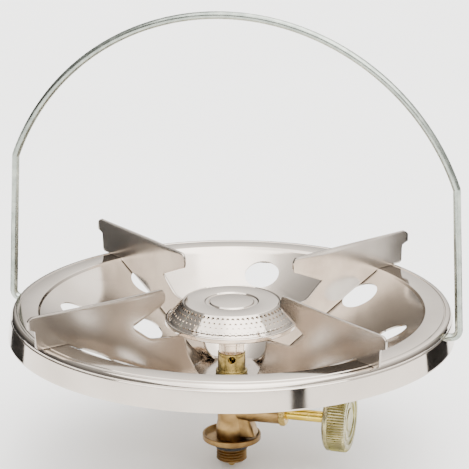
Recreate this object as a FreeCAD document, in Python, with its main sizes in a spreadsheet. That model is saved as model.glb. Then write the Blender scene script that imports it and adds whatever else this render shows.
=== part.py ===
import FreeCAD, Part
import math
import os

import Sketcher
from FreeCAD import Placement, Rotation, Vector

# Single-burner camping gas stove head that screws onto a refillable gas cylinder.
# Frame: +Z up along the cylinder-thread axis, +X along the valve spindle towards its knob.
# The bail handle pivots about an axis parallel to X. Origin: root of the coupling's thread,
# on its axis. Millimetres and degrees.

SIZES = {
    # overall stack
    "rim_height": 77.0,           # thread root to the top of the dish rim
    "sheet_gauge": 0.8,           # dish and burner sheet
    "fit_gap": 0.08,              # radial running clearance of everything that turns
    # dish
    "rim_radius": 113.2,          # where the shoulder meets the band
    "band_flare": 1.8,            # how much wider the band's lower edge is
    "band_depth": 14.0,
    "shoulder": 2.7,
    "flange_width": 11.0,
    "step_depth": 1.2,
    "step_run": 1.0,
    "dish_depth": 37.5,
    "floor_radius": 23.5,
    "air_hole_count": 8,
    "outer_hole_radius": 9.2,
    "outer_hole_circle": 81.5,
    "inner_hole_radius": 8.0,
    "inner_hole_circle": 54.0,
    "air_hole_azimuth": 4.0,
    # pan support: a hub disc with arms that turn up on edge
    "arm_gauge": 1.2,
    "arm_height": 17.5,           # pan-rest edge above the rim
    "arm_azimuth_a": 54.0,
    "arm_azimuth_b": 142.5,
    "arm_azimuth_c": 229.7,
    "arm_azimuth_d": 323.5,
    "hub_edge_gap": 0.1,
    "arm_cone_gap": 0.4,
    "foot_overlap": 3.3,          # how far the foot reaches past the shoulder
    "foot_setback": 0.3,
    "ear_overhang": 4.6,
    "ear_depth": 7.5,
    "ear_slope": 1.4,
    "ear_corner": 2.0,
    "nose_radius": 41.0,
    "nose_depth": 9.0,
    "nose_corner": 3.0,
    "notch_radius": 61.0,
    "notch_drop": 16.3,
    "neck_gap": 0.6,              # the neck's corner below the burner bowl
    "neck_rise": 3.2,
    "neck_run": 11.0,
    "neck_radius": 28.9,
    "neck_foot_radius": 27.6,
    "neck_length": 9.8,
    "root_overlap": 3.4,          # how far an arm's root runs into the hub disc
    "root_rise": 1.0,
    # burner
    "cap_rise": 3.0,              # burner top above the rim
    "cap_flat_radius": 24.2,
    "cap_rim_radius": 33.6,
    "cap_depth": 9.6,
    "emboss_radius": 12.6,
    "emboss_width": 1.8,
    "emboss_depth": 0.7,
    "crimp_overlap": 0.5,
    "bowl_depth": 9.2,
    "bowl_sleeve": 2.9,
    "bowl_knee_inset": 5.6,
    "bowl_knee_drop": 3.0,
    # air collar, mixing tube and jet
    "tube_radius": 6.75,
    "tube_wall": 0.75,
    "collar_radius": 7.15,
    "collar_height": 11.8,
    "collar_base_radius": 8.25,
    "collar_base_height": 2.0,
    "collar_wall": 1.2,
    "nipple_height": 4.5,
    "air_port_radius": 2.0,
    "air_port_drop": 2.5,         # port centre below the collar's shoulder
    "air_port_azimuth": -74.0,
    "jet_shank_radius": 2.0,
    "jet_shank_length": 5.0,
    "jet_hex_radius": 3.2,
    "jet_hex_height": 2.5,
    "jet_tip_radius": 1.2,
    "jet_tip_height": 1.4,
    "jet_orifice_radius": 0.4,
    "filter_thickness": 1.8,
    # valve body
    "spigot_radius": 5.0,
    "spigot_engagement": 6.3,
    "hole_clearance": 0.1,
    "washer_thickness": 1.0,
    "washer_radius": 9.5,
    "barrel_radius": 8.6,
    "gallery_radius": 1.6,
    "spindle_height": 21.0,
    "branch_radius": 5.9,
    "branch_length": 26.5,
    "block_reach": 13.5,
    "block_width": 11.0,
    "seat_start": 4.0,
    "seat_bore_radius": 1.1,
    "chamber_radius": 3.2,
    "inlet_radius": 1.2,
    "inlet_offset": 5.0,
    "spindle_thread_step": 1.02,  # the spindle's thread outside its shaft
    "spindle_thread_start": 12.0,
    "seal_bore_start": 20.0,
    "seal_space": 1.57,           # from the shaft to the seal bore
    # spindle, gland and knob
    "spindle_radius": 2.98,
    "spindle_end": 60.0,
    "needle_tip_radius": 0.5,
    "needle_length": 4.0,
    "needle_root_radius": 2.0,
    "thread_length": 4.5,
    "groove_start": 20.1,
    "groove_width": 2.4,
    "groove_depth": 0.73,
    "ring_section": 1.07,
    "gland_washer_start": 24.2,
    "gland_washer_thickness": 0.7,
    "gland_hex_radius": 6.7,
    "gland_hex_length": 3.3,
    "knob_start": 51.8,
    "knob_length": 11.8,
    "knob_radius": 17.0,
    "knob_chamfer": 1.0,
    "knob_recess_inner": 6.0,
    "knob_recess_outer": 12.5,
    "knob_recess_depth": 0.6,
    "grub_radius": 1.5,
    "grub_length": 5.0,
    # cylinder coupling
    "thread_radius": 8.0,
    "thread_height": 6.4,
    "thread_chamfer": 0.9,
    "seal_height": 1.6,
    "seal_register": 0.25,        # the ring's seat stands this far outside the thread
    "seal_radius": 8.9,
    "seat_radius": 9.0,
    "coupling_radius": 15.3,
    "coupling_cone": 4.0,
    "coupling_edge": 1.6,
    "recess_depth": 2.0,
    "recess_radius": 13.0,
    "shank_radius": 6.5,
    "shank_height": 6.8,
    "opener_radius": 2.85,
    "opener_reach": 3.4,          # pin tip below the thread's end
    "opener_tip_radius": 1.3,
    "opener_bore_radius": 0.8,
    "opener_top": 4.0,
    # bail handle
    "wire_radius": 2.0,
    "pivot_drop": 5.8,            # pivot axis below the rim
    "bail_leg_gap": 5.8,          # the legs' centre outside the rim radius
    "bail_kink_inset": 3.0,
    "bail_kink_height": 77.8,
    "bail_height": 159.0,         # pivot axis to the wire's centre at the top
    "bail_bend": 4.0,
    "bail_end_inset": 5.2,        # the wire's ends inside the rim radius
}

doc = FreeCAD.newDocument("stove_head")
sheet = doc.addObject("Spreadsheet::Sheet", "Sizes")
for row, (alias, number) in enumerate(SIZES.items(), start=1):
    sheet.set(f"A{row}", alias)
    sheet.set(f"B{row}", str(number))
    sheet.setAlias(f"B{row}", alias)
doc.recompute()


def cell(alias):
    """Return the expression that reads one cell of the sheet."""
    return f"Sizes.{alias}"


def value(expression):
    """Return the number that an expression on the sheet has now."""
    return float(sheet.evalExpression(expression))


# Heights and radii that several pieces share.
RIM = cell("rim_height")
GAUGE = cell("sheet_gauge")
RIM_R = cell("rim_radius")
SHOULDER_R = f"({RIM_R} - {cell('shoulder')})"
STEP_R = f"({SHOULDER_R} - {cell('flange_width')})"
CONE_R = f"({STEP_R} - {cell('step_run')})"
CONE_Z = f"({RIM} - {cell('step_depth')})"
FLOOR = f"({RIM} - {cell('dish_depth')})"
HUB_TOP = f"({FLOOR} + {cell('arm_gauge')})"
BODY_TOP = f"({FLOOR} - {GAUGE} - {cell('washer_thickness')})"
SPIGOT_TOP = f"({HUB_TOP} + {cell('spigot_engagement')})"
COLLAR_TOP = f"({HUB_TOP} + {cell('collar_height')})"
NIPPLE_R = f"({cell('tube_radius')} - {cell('tube_wall')})"
CAP_TOP = f"({RIM} + {cell('cap_rise')})"
CAP_RIM = f"({CAP_TOP} - {cell('cap_depth')})"
LIP_R = f"({cell('cap_rim_radius')} + {GAUGE})"
BOWL_LOW = f"({CAP_RIM} - {GAUGE} - {cell('bowl_depth')})"
SEAT_Z = cell("seal_height")
COUPLING_TOP = f"({SEAT_Z} + {cell('coupling_cone')} + {cell('coupling_edge')})"
BODY_LOW = f"({COUPLING_TOP} - {cell('recess_depth')})"
SHANK_TOP = f"({BODY_LOW} + {cell('shank_height')})"
AXIS_Z = cell("spindle_height")
PIVOT_Z = f"({RIM} - {cell('pivot_drop')})"
SPINDLE_THREAD_R = f"({cell('spindle_radius')} + {cell('spindle_thread_step')})"
SEAL_BORE_R = f"({cell('spindle_radius')} + {cell('seal_space')})"
BAIL_END_R = f"({RIM_R} - {cell('bail_end_inset')})"
BAIL_LEG_R = f"({RIM_R} + {cell('bail_leg_gap')})"
BOWL_NECK_R = f"({cell('tube_radius')} + {GAUGE})"
BOWL_KNEE_R = f"({cell('cap_rim_radius')} - {cell('bowl_knee_inset')})"
BOWL_KNEE_Z = f"({CAP_RIM} - {GAUGE} - {cell('bowl_knee_drop')})"


def origin_plane(body, role):
    """Return the body's own origin plane of that role."""
    for feature in body.Origin.OriginFeatures:
        if feature.Role == role:
            return feature
    raise RuntimeError(f"{body.Label} has no plane {role}")


def outline(body, points):
    """Sketch a closed outline on the body's XZ plane, each point held by two expressions."""
    sketch = body.newObject("Sketcher::SketchObject", body.Name + "_outline")
    sketch.AttachmentSupport = [(origin_plane(body, "XZ_Plane"), "")]
    sketch.MapMode = "FlatFace"
    places = [Vector(value(across), value(up), 0) for across, up in points]
    count = len(places)
    for index in range(count):
        sketch.addGeometry(Part.LineSegment(places[index], places[(index + 1) % count]), False)
    for index in range(count):
        sketch.addConstraint(Sketcher.Constraint("Coincident", index, 2, (index + 1) % count, 1))
    for index, (across, up) in enumerate(points):
        for kind, number, expression in (
            ("DistanceX", places[index].x, across),
            ("DistanceY", places[index].y, up),
        ):
            held = sketch.addConstraint(Sketcher.Constraint(kind, -1, 1, index, 1, number))
            sketch.setExpression(f"Constraints[{held}]", expression)
    return sketch


def turned(label, points, axis="V_Axis"):
    """Turn an outline about Z (V_Axis: radius, height) or X (H_Axis: place, radius)."""
    body = doc.addObject("PartDesign::Body", label)
    body.Label = label
    sketch = outline(body, points)
    turn = body.newObject("PartDesign::Revolution", label + "_turn")
    turn.Profile = sketch
    turn.ReferenceAxis = (sketch, [axis])
    turn.Angle = 360
    body.Tip = turn
    if axis == "H_Axis":
        body.setExpression("Placement.Base.z", AXIS_Z)
    return body


def place(piece, x="0", y="0", z="0", tilt=None, azimuth=None):
    """Bind a primitive's position; tilt is 'x' or 'y' to lay its Z axis along that one."""
    spin = Rotation()
    if tilt == "x":
        spin = Rotation(Vector(0, 1, 0), 90)
    if tilt == "y":
        spin = Rotation(Vector(1, 0, 0), -90)
    if azimuth is not None:
        spin = Rotation(Vector(0, 0, 1), value(azimuth)).multiply(spin)
    piece.Placement = Placement(Vector(0, 0, 0), spin)
    for key, expression in (("x", x), ("y", y), ("z", z)):
        piece.setExpression(f"Placement.Base.{key}", expression)
    return piece


def rod(name, radius, length, **where):
    """A cylinder from a place, up Z unless tilted."""
    piece = doc.addObject("Part::Cylinder", name)
    piece.setExpression("Radius", radius)
    piece.setExpression("Height", length)
    return place(piece, **where)


def hexagon(name, radius, length, **where):
    """A hexagonal prism of a given corner radius."""
    piece = doc.addObject("Part::Prism", name)
    piece.Polygon = 6
    piece.setExpression("Circumradius", radius)
    piece.setExpression("Height", length)
    return place(piece, **where)


def fused(name, pieces):
    """Join pieces into one object."""
    joint = doc.addObject("Part::MultiFuse", name)
    joint.Shapes = pieces
    return joint


def cut(label, base, tools):
    """Cut one or more tools out of a base and give the result its own label."""
    result = doc.addObject("Part::Cut", label)
    result.Label = label
    result.Base = base
    result.Tool = tools[0] if len(tools) == 1 else fused(label + "_tools", tools)
    return result


def on_circle(radius, azimuth):
    """Return the x and y expressions of a point on a circle."""
    return f"{radius} * cos({azimuth})", f"{radius} * sin({azimuth})"


def make_dish():
    """Pressed dish: flared band, rounded rim, flange, conical wall with air holes, flat floor."""
    band_low = f"{RIM} - {cell('band_depth')}"
    band_top = f"{RIM} - {cell('shoulder')}"
    low_r = f"{RIM_R} + {cell('band_flare')}"
    hole = f"{cell('spigot_radius')} + {cell('hole_clearance')}"
    shell = turned("dish_shell", [
        (hole, FLOOR),
        (cell("floor_radius"), FLOOR),
        (CONE_R, CONE_Z),
        (STEP_R, RIM),
        (SHOULDER_R, RIM),
        (RIM_R, band_top),
        (low_r, band_low),
        (f"{low_r} - {GAUGE}", band_low),
        (f"{RIM_R} - {GAUGE}", f"{band_top} - {GAUGE} / 3"),
        (f"{SHOULDER_R} - {GAUGE} / 3", f"{RIM} - {GAUGE}"),
        (f"{STEP_R} + {GAUGE} / 3", f"{RIM} - {GAUGE}"),
        (f"{CONE_R} + {GAUGE} / 3", f"{CONE_Z} - {GAUGE}"),
        (cell("floor_radius"), f"{FLOOR} - {GAUGE}"),
        (hole, f"{FLOOR} - {GAUGE}"),
    ])
    cutters = []
    pitch = f"360 / {cell('air_hole_count')}"
    rings = (
        ("outer", "outer_hole_radius", "outer_hole_circle", "0"),
        ("inner", "inner_hole_radius", "inner_hole_circle", f"{pitch} / 2"),
    )
    for ring, radius, circle, shift in rings:
        for index in range(int(value(cell("air_hole_count")))):
            azimuth = f"({cell('air_hole_azimuth')} + {shift} + {index} * {pitch})"
            x, y = on_circle(cell(circle), azimuth)
            cutters.append(rod(
                f"air_hole_{ring}_{index}", cell(radius), cell("dish_depth"), x=x, y=y, z=FLOOR))
    bore = f"{cell('wire_radius')} + {cell('fit_gap')}"
    for side, start in (("plus", BAIL_END_R), ("minus", f"-({low_r}) - 1")):
        length = f"{low_r} + 1 - {BAIL_END_R}"
        cutters.append(rod(f"bail_hole_{side}", bore, length, x=start, z=PIVOT_Z, tilt="x"))
    return cut("dish", shell, cutters)


def make_pan_support():
    """One stamping: a hub disc clamped on the dish floor and arms standing on edge."""
    hole = f"{cell('spigot_radius')} + {cell('hole_clearance')}"
    edge = f"({cell('floor_radius')} - {cell('hub_edge_gap')})"
    hub = turned("support_hub", [
        (hole, FLOOR), (edge, FLOOR), (edge, HUB_TOP), (hole, HUB_TOP)])
    root = f"{edge} - {cell('root_overlap')}"
    low = f"{FLOOR} + {cell('arm_cone_gap')}"
    rest = f"({RIM} + {cell('arm_height')})"
    outer = f"({SHOULDER_R} + {cell('foot_overlap')} + {cell('shoulder')})"
    ear = f"({outer} + {cell('ear_overhang')})"
    bowl_slope = f"({BOWL_KNEE_Z} - {BOWL_LOW}) / ({BOWL_KNEE_R} - {BOWL_NECK_R})"
    under_bowl = f"{BOWL_LOW} + {bowl_slope} * ({cell('neck_radius')} - {BOWL_NECK_R})"
    neck = f"({under_bowl} - {cell('neck_gap')})"
    nose = cell("nose_radius")
    pieces = [hub]
    for letter in "abcd":
        arm = doc.addObject("PartDesign::Body", f"support_arm_{letter}")
        sketch = outline(arm, [
            (root, low),
            (edge, low),
            (CONE_R, f"{CONE_Z} + {cell('arm_cone_gap')}"),
            (f"{STEP_R} + {cell('foot_setback')}", RIM),
            (outer, RIM),
            (f"{outer} + {cell('foot_setback')}", f"{rest} - {cell('ear_depth')}"),
            (ear, f"{rest} - {cell('ear_depth')} + {cell('ear_slope')}"),
            (ear, f"{rest} - {cell('ear_corner')}"),
            (f"{ear} - {cell('ear_corner')}", rest),
            (f"{nose} + {cell('nose_corner')}", rest),
            (nose, f"{rest} - {cell('nose_depth')} / 3"),
            (f"{nose} + {cell('nose_corner')}", f"{rest} - {cell('nose_depth')}"),
            (cell("notch_radius"), f"{rest} - {cell('notch_drop')}"),
            (f"{cell('notch_radius')} - {cell('neck_run')}", f"{neck} + {cell('neck_rise')}"),
            (cell("neck_radius"), neck),
            (cell("neck_foot_radius"), f"{neck} - {cell('neck_length')}"),
            (root, f"{HUB_TOP} + {cell('root_rise')}"),
        ])
        pad = arm.newObject("PartDesign::Pad", f"support_arm_{letter}_pad")
        pad.Profile = sketch
        pad.SideType = "Symmetric"
        pad.setExpression("Length", cell("arm_gauge"))
        arm.Tip = pad
        azimuth = cell(f"arm_azimuth_{letter}")
        arm.Placement = Placement(Vector(0, 0, 0), Rotation(Vector(0, 0, 1), value(azimuth)))
        arm.setExpression("Placement.Rotation.Angle", azimuth)
        pieces.append(arm)
    support = fused("pan_support", pieces)
    support.Label = "pan_support"
    return support


def make_burner():
    """Burner cap and bowl; the bowl's lip folds over the cap's rim."""
    under = f"({CAP_TOP} - {GAUGE})"
    ring = cell("emboss_radius")
    half = f"{cell('emboss_width')} / 2"
    deep = cell("emboss_depth")
    flat = cell("cap_flat_radius")
    rim = cell("cap_rim_radius")
    rim_in = f"({rim} - {GAUGE})"
    cap = turned("burner_cap", [
        ("0", CAP_TOP),
        (f"{ring} - {half} - 0.3", CAP_TOP),
        (f"{ring} - {half} + 0.2", f"{CAP_TOP} - {deep}"),
        (f"{ring} + {half} - 0.2", f"{CAP_TOP} - {deep}"),
        (f"{ring} + {half} + 0.3", CAP_TOP),
        (flat, CAP_TOP),
        (rim_in, CAP_RIM),
        (rim, CAP_RIM),
        (rim, f"{CAP_RIM} - {GAUGE}"),
        (f"{rim_in} - {GAUGE}", f"{CAP_RIM} - {GAUGE}"),
        (f"{flat} - {GAUGE} / 2", under),
        (f"{ring} + {half} + 0.7", under),
        (f"{ring} + {half} + 0.2", f"{under} - {deep}"),
        (f"{ring} - {half} - 0.2", f"{under} - {deep}"),
        (f"{ring} - {half} - 0.7", under),
        ("0", under),
    ])
    tube = cell("tube_radius")
    low = f"{BOWL_LOW} - {cell('bowl_sleeve')}"
    crimp = f"({rim} - {cell('crimp_overlap')})"
    base = f"({CAP_RIM} - {GAUGE})"
    bowl = turned("burner_bowl", [
        (tube, low),
        (BOWL_NECK_R, low),
        (BOWL_NECK_R, BOWL_LOW),
        (BOWL_KNEE_R, BOWL_KNEE_Z),
        (LIP_R, f"{base} - {GAUGE}"),
        (LIP_R, f"{CAP_RIM} + {GAUGE}"),
        (crimp, f"{CAP_RIM} + {GAUGE}"),
        (crimp, CAP_RIM),
        (rim, CAP_RIM),
        (rim, base),
        (BOWL_KNEE_R, f"{BOWL_KNEE_Z} + {GAUGE}"),
        (tube, f"{BOWL_LOW} + {GAUGE}"),
    ])
    return [cap, bowl]


def make_mixing_column():
    """Mixing tube, brass air collar, gas jet and its filter, stacked on the hub disc."""
    tube = turned("mixing_tube", [
        (NIPPLE_R, COLLAR_TOP),
        (cell("tube_radius"), COLLAR_TOP),
        (cell("tube_radius"), f"{BOWL_LOW} + {GAUGE}"),
        (NIPPLE_R, f"{BOWL_LOW} + {GAUGE}"),
    ])
    base_r = cell("collar_base_radius")
    base_top = f"{HUB_TOP} + {cell('collar_base_height')}"
    throat = f"({NIPPLE_R} - {cell('collar_wall')})"
    collar = turned("collar_blank", [
        (cell("spigot_radius"), HUB_TOP),
        (base_r, HUB_TOP),
        (base_r, base_top),
        (cell("collar_radius"), base_top),
        (cell("collar_radius"), COLLAR_TOP),
        (NIPPLE_R, COLLAR_TOP),
        (NIPPLE_R, f"{COLLAR_TOP} + {cell('nipple_height')}"),
        (throat, f"{COLLAR_TOP} + {cell('nipple_height')}"),
        (throat, SPIGOT_TOP),
        (cell("spigot_radius"), SPIGOT_TOP),
    ])
    reach = f"({cell('collar_radius')} + 1)"
    x, y = on_circle(f"-{reach}", cell("air_port_azimuth"))
    port = rod("air_port", cell("air_port_radius"), f"2 * {reach}", x=x, y=y,
               z=f"{COLLAR_TOP} - {cell('air_port_drop')}", tilt="x",
               azimuth=cell("air_port_azimuth"))
    holder = cut("jet_holder", collar, [port])
    jet_low = f"({SPIGOT_TOP} - {cell('jet_shank_length')})"
    hex_top = f"({SPIGOT_TOP} + {cell('jet_hex_height')})"
    shank = rod("jet_shank", cell("jet_shank_radius"), cell("jet_shank_length"), z=jet_low)
    head = hexagon("jet_head", cell("jet_hex_radius"), cell("jet_hex_height"), z=SPIGOT_TOP)
    tip = rod("jet_tip", cell("jet_tip_radius"), cell("jet_tip_height"), z=hex_top)
    total = (f"{cell('jet_shank_length')} + {cell('jet_hex_height')}"
             f" + {cell('jet_tip_height')}")
    orifice = rod("jet_orifice", cell("jet_orifice_radius"), total, z=jet_low)
    jet = cut("gas_jet", fused("jet_blank", [shank, head, tip]), [orifice])
    gauze = rod("gas_filter", cell("jet_shank_radius"), cell("filter_thickness"),
                z=f"{jet_low} - {cell('filter_thickness')}")
    gauze.Label = "gas_filter"
    return [tube, holder, jet, gauze]


def make_valve_body():
    """Brass valve body: barrel, top spigot, side branch on its block, and all its bores."""
    barrel = rod("valve_barrel", cell("barrel_radius"), f"{BODY_TOP} - {BODY_LOW}", z=BODY_LOW)
    spigot = rod("valve_spigot", cell("spigot_radius"), f"{SPIGOT_TOP} - {BODY_TOP}", z=BODY_TOP)
    branch = rod("valve_branch", cell("branch_radius"), cell("branch_length"),
                 z=AXIS_Z, tilt="x")
    block = doc.addObject("Part::Box", "valve_block")
    block.setExpression("Length", cell("block_reach"))
    block.setExpression("Width", cell("block_width"))
    block.setExpression("Height", f"{AXIS_Z} - {COUPLING_TOP}")
    place(block, y=f"-{cell('block_width')} / 2", z=COUPLING_TOP)
    pocket_low = f"({SPIGOT_TOP} - {cell('jet_shank_length')} - {cell('filter_thickness')})"
    thread_start = cell("spindle_thread_start")
    seal_start = cell("seal_bore_start")
    bores = [
        rod("socket_bore", cell("shank_radius"), cell("shank_height"), z=BODY_LOW),
        rod("inlet_bore", cell("inlet_radius"), f"{AXIS_Z} - {SHANK_TOP}",
            x=cell("inlet_offset"), z=SHANK_TOP),
        rod("gallery_bore", cell("gallery_radius"), f"{pocket_low} - {AXIS_Z}", z=AXIS_Z),
        rod("jet_pocket", cell("jet_shank_radius"), f"{SPIGOT_TOP} - {pocket_low}", z=pocket_low),
        rod("seat_bore", cell("seat_bore_radius"),
            f"{cell('seat_start')} + {cell('gallery_radius')}",
            x=f"-{cell('gallery_radius')}", z=AXIS_Z, tilt="x"),
        rod("chamber_bore", cell("chamber_radius"), f"{thread_start} - {cell('seat_start')}",
            x=cell("seat_start"), z=AXIS_Z, tilt="x"),
        rod("spindle_thread_bore", SPINDLE_THREAD_R,
            f"{seal_start} - {thread_start}", x=thread_start, z=AXIS_Z, tilt="x"),
        rod("seal_bore", SEAL_BORE_R, f"{cell('branch_length')} - {seal_start}",
            x=seal_start, z=AXIS_Z, tilt="x"),
    ]
    body = cut("valve_body", fused("valve_blank", [barrel, spigot, branch, block]), bores)
    washer_hole = f"{cell('spigot_radius')} + {cell('hole_clearance')}"
    washer = turned("dish_washer", [
        (washer_hole, BODY_TOP),
        (cell("washer_radius"), BODY_TOP),
        (cell("washer_radius"), f"{BODY_TOP} + {cell('washer_thickness')}"),
        (washer_hole, f"{BODY_TOP} + {cell('washer_thickness')}"),
    ])
    return [body, washer]


def make_coupling():
    """Cylinder coupling with its male thread, the sealing ring and the opener pin."""
    bore = cell("opener_radius")
    end = f"(-{cell('thread_height')} - {cell('thread_chamfer')})"
    edge_r = cell("coupling_radius")
    register = f"({cell('thread_radius')} + {cell('seal_register')})"
    coupling = turned("cylinder_coupling", [
        (bore, end),
        (f"{cell('thread_radius')} - {cell('thread_chamfer')}", end),
        (cell("thread_radius"), f"-{cell('thread_height')}"),
        (cell("thread_radius"), "0"),
        (register, "0"),
        (register, SEAT_Z),
        (cell("seat_radius"), SEAT_Z),
        (edge_r, f"{SEAT_Z} + {cell('coupling_cone')}"),
        (edge_r, COUPLING_TOP),
        (f"{edge_r} - 0.9", COUPLING_TOP),
        (cell("recess_radius"), BODY_LOW),
        (cell("shank_radius"), BODY_LOW),
        (cell("shank_radius"), SHANK_TOP),
        (bore, SHANK_TOP),
    ])
    seal = turned("cylinder_seal", [
        (register, "0"),
        (cell("seal_radius"), "0"),
        (cell("seal_radius"), SEAT_Z),
        (register, SEAT_Z),
    ])
    tip = f"({end} - {cell('opener_reach')})"
    pin = turned("opener_pin", [
        (cell("opener_bore_radius"), tip),
        (cell("opener_tip_radius"), tip),
        (bore, f"{tip} + 2"),
        (bore, cell("opener_top")),
        (cell("opener_bore_radius"), cell("opener_top")),
    ])
    return [coupling, seal, pin]


def make_spindle_group():
    """Needle spindle, its sealing ring, the gland washer and nut, the knob and its screw."""
    shaft = cell("spindle_radius")
    thread_start = f"({cell('spindle_thread_start')} + 0.5)"
    thread_end = f"({thread_start} + {cell('thread_length')})"
    thread_r = f"{SPINDLE_THREAD_R} - {cell('fit_gap')}"
    tip = f"({cell('seat_start')} - 1)"
    cone_end = f"{tip} + {cell('needle_length')}"
    groove_end = f"({cell('groove_start')} + {cell('groove_width')})"
    groove_r = f"({shaft} - {cell('groove_depth')})"
    spindle = turned("valve_spindle", [
        (tip, "0"),
        (tip, cell("needle_tip_radius")),
        (cone_end, cell("needle_root_radius")),
        (thread_start, cell("needle_root_radius")),
        (thread_start, thread_r),
        (thread_end, thread_r),
        (thread_end, shaft),
        (cell("groove_start"), shaft),
        (cell("groove_start"), groove_r),
        (groove_end, groove_r),
        (groove_end, shaft),
        (cell("spindle_end"), shaft),
        (cell("spindle_end"), "0"),
    ], axis="H_Axis")
    ring = doc.addObject("Part::Torus", "spindle_o_ring")
    ring.Label = "spindle_o_ring"
    ring.setExpression("Radius1", f"{groove_r} + {cell('ring_section')} + 0.06")
    ring.setExpression("Radius2", cell("ring_section"))
    place(ring, x=f"{cell('groove_start')} + {cell('groove_width')} / 2", z=AXIS_Z, tilt="x")

    bore_r = f"{shaft} + {cell('fit_gap')}"
    washer_start = cell("gland_washer_start")
    nipple_start = f"({washer_start} + {cell('gland_washer_thickness')})"
    washer = turned("gland_washer", [
        (washer_start, bore_r),
        (washer_start, SEAL_BORE_R),
        (nipple_start, SEAL_BORE_R),
        (nipple_start, bore_r),
    ], axis="H_Axis")
    nipple = rod("gland_nipple", SEAL_BORE_R,
                 f"{cell('branch_length')} - {nipple_start}",
                 x=nipple_start, z=AXIS_Z, tilt="x")
    head = hexagon("gland_head", cell("gland_hex_radius"), cell("gland_hex_length"),
                   x=cell("branch_length"), z=AXIS_Z, tilt="x")
    through = rod("gland_bore", bore_r,
                  f"{cell('branch_length')} + {cell('gland_hex_length')} - {nipple_start}",
                  x=nipple_start, z=AXIS_Z, tilt="x")
    nut = cut("gland_nut", fused("gland_blank", [nipple, head]), [through])

    start = cell("knob_start")
    end = f"({start} + {cell('knob_length')})"
    rim = cell("knob_radius")
    chamfer = cell("knob_chamfer")
    deep = f"{end} - {cell('knob_recess_depth')}"
    blank = turned("knob_blank", [
        (start, shaft),
        (start, f"{rim} - {chamfer}"),
        (f"{start} + {chamfer}", rim),
        (f"{end} - {chamfer}", rim),
        (end, f"{rim} - {chamfer}"),
        (end, cell("knob_recess_outer")),
        (deep, f"{cell('knob_recess_outer')} - 0.4"),
        (deep, f"{cell('knob_recess_inner')} + 0.4"),
        (end, cell("knob_recess_inner")),
        (end, "0"),
        (cell("spindle_end"), "0"),
        (cell("spindle_end"), shaft),
    ], axis="H_Axis")
    middle = f"({start} + {cell('spindle_end')}) / 2"
    screw_hole = rod("grub_hole", cell("grub_radius"), f"{rim} + 1 - {shaft}",
                     x=middle, y=shaft, z=AXIS_Z, tilt="y")
    knob = cut("control_knob", blank, [screw_hole])
    spindle_clear = rod("grub_end_trim", shaft, cell("knob_length"),
                        x=start, z=AXIS_Z, tilt="x")
    screw_blank = rod("grub_blank", cell("grub_radius"), cell("grub_length"),
                      x=middle, y=shaft, z=AXIS_Z, tilt="y")
    screw = cut("knob_grub_screw", screw_blank, [spindle_clear])
    return [spindle, ring, washer, nut, knob, screw]


def make_bail():
    """Wire bail: turned-in ends through the band, straight legs, a kink and a round bow.

    Its path mixes tangent bends with one sharp kink on each side, so the solid is swept
    directly from a wire whose points are read from the sheet.
    """
    leg = value(BAIL_LEG_R)
    kink = leg - value(cell("bail_kink_inset"))
    kink_z = value(cell("bail_kink_height"))
    top_z = value(cell("bail_height"))
    bend = value(cell("bail_bend"))
    end = value(BAIL_END_R)
    lean = math.atan2(leg - kink, kink_z)

    def side(sign):
        """Return the pin, the bend and the leg of one side, from the free end up."""
        turn_x = leg - bend
        centre = Vector(sign * turn_x, 0, bend)
        half = math.radians(45) + lean / 2
        mid = centre + Vector(sign * bend * math.sin(half), 0, -bend * math.cos(half))
        rise = Vector(sign * bend * math.cos(lean), 0, bend * math.sin(lean))
        foot = centre + rise
        pin = Part.LineSegment(Vector(sign * end, 0, 0), Vector(sign * turn_x, 0, 0))
        curve = Part.Arc(Vector(sign * turn_x, 0, 0), mid, foot)
        straight = Part.LineSegment(foot, Vector(sign * kink, 0, kink_z))
        return [pin.toShape(), curve.toShape(), straight.toShape()]

    rise = top_z - kink_z
    bow_r = (kink ** 2 + rise ** 2) / (2 * rise)
    bow_centre = top_z - bow_r
    start = math.atan2(kink_z - bow_centre, kink)
    quarter = (start + math.pi / 2) / 2
    arcs = []
    for first, middle, last in (
        (start, quarter, math.pi / 2),
        (math.pi / 2, math.pi - quarter, math.pi - start),
    ):
        spots = [Vector(bow_r * math.cos(a), 0, bow_centre + bow_r * math.sin(a))
                 for a in (first, middle, last)]
        arcs.append(Part.Arc(*spots).toShape())
    edges = side(1) + arcs + list(reversed(side(-1)))
    path = Part.Wire(Part.__sortEdges__(edges))
    section = Part.Wire(Part.makeCircle(value(cell("wire_radius")), Vector(end, 0, 0),
                                        Vector(1, 0, 0)))
    bail = doc.addObject("Part::Feature", "bail_handle")
    bail.Label = "bail_handle"
    bail.Shape = path.makePipeShell([section], True, False, 2)
    bail.Placement = Placement(Vector(0, 0, value(PIVOT_Z)), Rotation())
    return bail


def check_and_export(nodes):
    """Stop on any failed object or bad shape, then write one STEP file per sub-part."""
    for item in doc.Objects:
        if "Invalid" in item.State or "Error" in item.State:
            raise RuntimeError(f"{item.Label} failed: {item.State}")
    os.makedirs("parts", exist_ok=True)
    for node in nodes:
        shape = node.Shape
        if shape.isNull() or not shape.isValid():
            raise RuntimeError(f"{node.Label} has no valid shape")
        if not shape.Solids:
            raise RuntimeError(f"{node.Label} has no solid")
        print(f"{node.Label}: {len(shape.Solids)} solid(s), {shape.Volume:.1f} mm3")
        shape.exportStep(f"parts/{node.Label}.step")


def main():
    """Build every sub-part and write the files."""
    nodes = [make_dish(), make_pan_support()]
    nodes += make_burner()
    nodes += make_mixing_column()
    nodes += make_valve_body()
    nodes += make_coupling()
    nodes += make_spindle_group()
    nodes.append(make_bail())
    doc.recompute()
    check_and_export(nodes)


main()
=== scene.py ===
"""Looks of a screw-on camping stove head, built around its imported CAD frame.

Each sub-assembly is a class with its sizes in millimetres; its methods work out the surfaces
with numpy, put them into meshes and dress them in finishes. Blender's unit is the metre.
"""

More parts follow.
